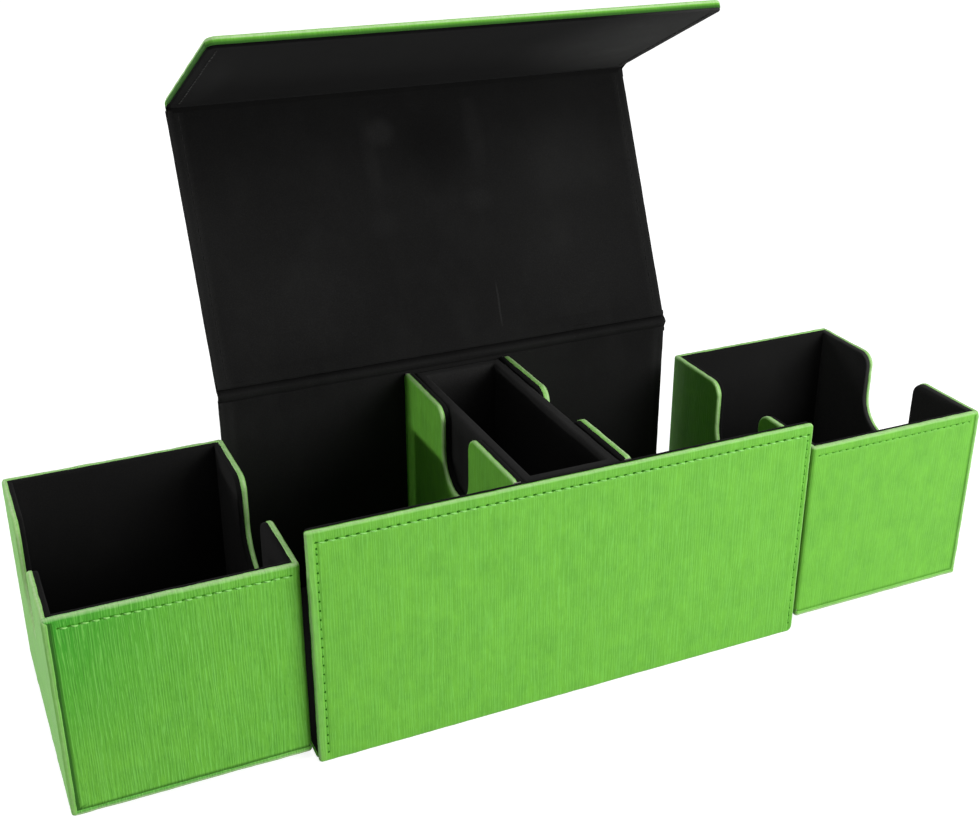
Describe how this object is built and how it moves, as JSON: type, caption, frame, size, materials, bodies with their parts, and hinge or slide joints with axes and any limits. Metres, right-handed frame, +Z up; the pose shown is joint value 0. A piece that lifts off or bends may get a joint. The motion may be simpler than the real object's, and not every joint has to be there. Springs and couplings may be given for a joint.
{
  "type": "card storage box",
  "caption": "Leatherette-covered playing card box with a magnetic fold-over lid, a drawer sliding out of each end and a lift-out tray between two slotted dividers.",
  "frame": {"origin": "centre of the case's underside, on the surface it stands on", "axes": "+X towards the right-hand drawer, along the case; +Y from the front towards the lid's hinge; +Z up"},
  "size_m": [0.3718, 0.1606, 0.2375],
  "materials": {
    "green_leatherette": "bright green embossed leatherette with fine streaks, satin, with matching stitching",
    "black_velvet": "short black velvet",
    "greyboard": "plain grey bookbinding board, hidden inside the covering",
    "magnet": "nickel-plated disc magnet, hidden inside the covering"
  },
  "bodies": {
    "case": {"front_cover": "green_leatherette", "back_cover": "green_leatherette", "base_cover": "green_leatherette", "left_divider_cover": "green_leatherette", "right_divider_cover": "green_leatherette", "base_lining": "black_velvet", "front_lining": "black_velvet", "back_lining": "black_velvet", "left_divider_lining": "black_velvet", "right_divider_lining": "black_velvet", "base_board": "greyboard", "front_board": "greyboard", "back_board": "greyboard", "left_divider_board": "greyboard", "right_divider_board": "greyboard", "front_magnets": "magnet", "left_divider_magnet": "magnet", "right_divider_magnet": "magnet", "lid_hinge_strip": "green_leatherette"},
    "lid": {"lid_cover": "green_leatherette", "lid_board": "greyboard", "lid_lining": "black_velvet", "flap_hinge_strip": "green_leatherette"},
    "flap": {"flap_cover": "green_leatherette", "flap_board": "greyboard", "flap_lining": "black_velvet", "flap_magnets": "magnet"},
    "left_drawer": {"left_drawer_wrap": "green_leatherette", "left_drawer_sleeve": "green_leatherette", "left_drawer_end_lining": "black_velvet", "left_drawer_front_lining": "black_velvet", "left_drawer_back_lining": "black_velvet", "left_drawer_inner_lining": "black_velvet", "left_drawer_floor_lining": "black_velvet", "left_drawer_end_board": "greyboard", "left_drawer_base_board": "greyboard", "left_drawer_front_board": "greyboard", "left_drawer_back_board": "greyboard", "left_drawer_inner_board": "greyboard", "left_drawer_magnet": "magnet"},
    "right_drawer": {"right_drawer_wrap": "green_leatherette", "right_drawer_sleeve": "green_leatherette", "right_drawer_end_lining": "black_velvet", "right_drawer_front_lining": "black_velvet", "right_drawer_back_lining": "black_velvet", "right_drawer_inner_lining": "black_velvet", "right_drawer_floor_lining": "black_velvet", "right_drawer_end_board": "greyboard", "right_drawer_base_board": "greyboard", "right_drawer_front_board": "greyboard", "right_drawer_back_board": "greyboard", "right_drawer_inner_board": "greyboard", "right_drawer_magnet": "magnet"},
    "tray": {"tray_floor": "black_velvet", "tray_front_wall": "black_velvet", "tray_back_wall": "black_velvet", "tray_left_wall": "black_velvet", "tray_right_wall": "black_velvet"}
  },
  "joints": [
    {"name": "lid_hinge", "type": "hinge", "parent": "case", "child": "lid", "pos_m": [0, 0.055, 0.0954], "axis": [-1, 0, 0], "range_deg": [-114.5, 65.5]},
    {"name": "flap_hinge", "type": "hinge", "parent": "lid", "child": "flap", "pos_m": [0, 0.10248, 0.19959], "axis": [-1, 0, 0], "range_deg": [0, 180]},
    {"name": "left_drawer_slide", "type": "slide", "parent": "case", "child": "left_drawer", "axis": [-1, 0, 0], "range_m": [-0.0768, 0.0042]},
    {"name": "right_drawer_slide", "type": "slide", "parent": "case", "child": "right_drawer", "axis": [1, 0, 0], "range_m": [-0.081, 0]},
    {"name": "tray_lift", "type": "slide", "parent": "case", "child": "tray", "axis": [0, 0, 1], "range_m": [0, 0.095]}
  ]
}
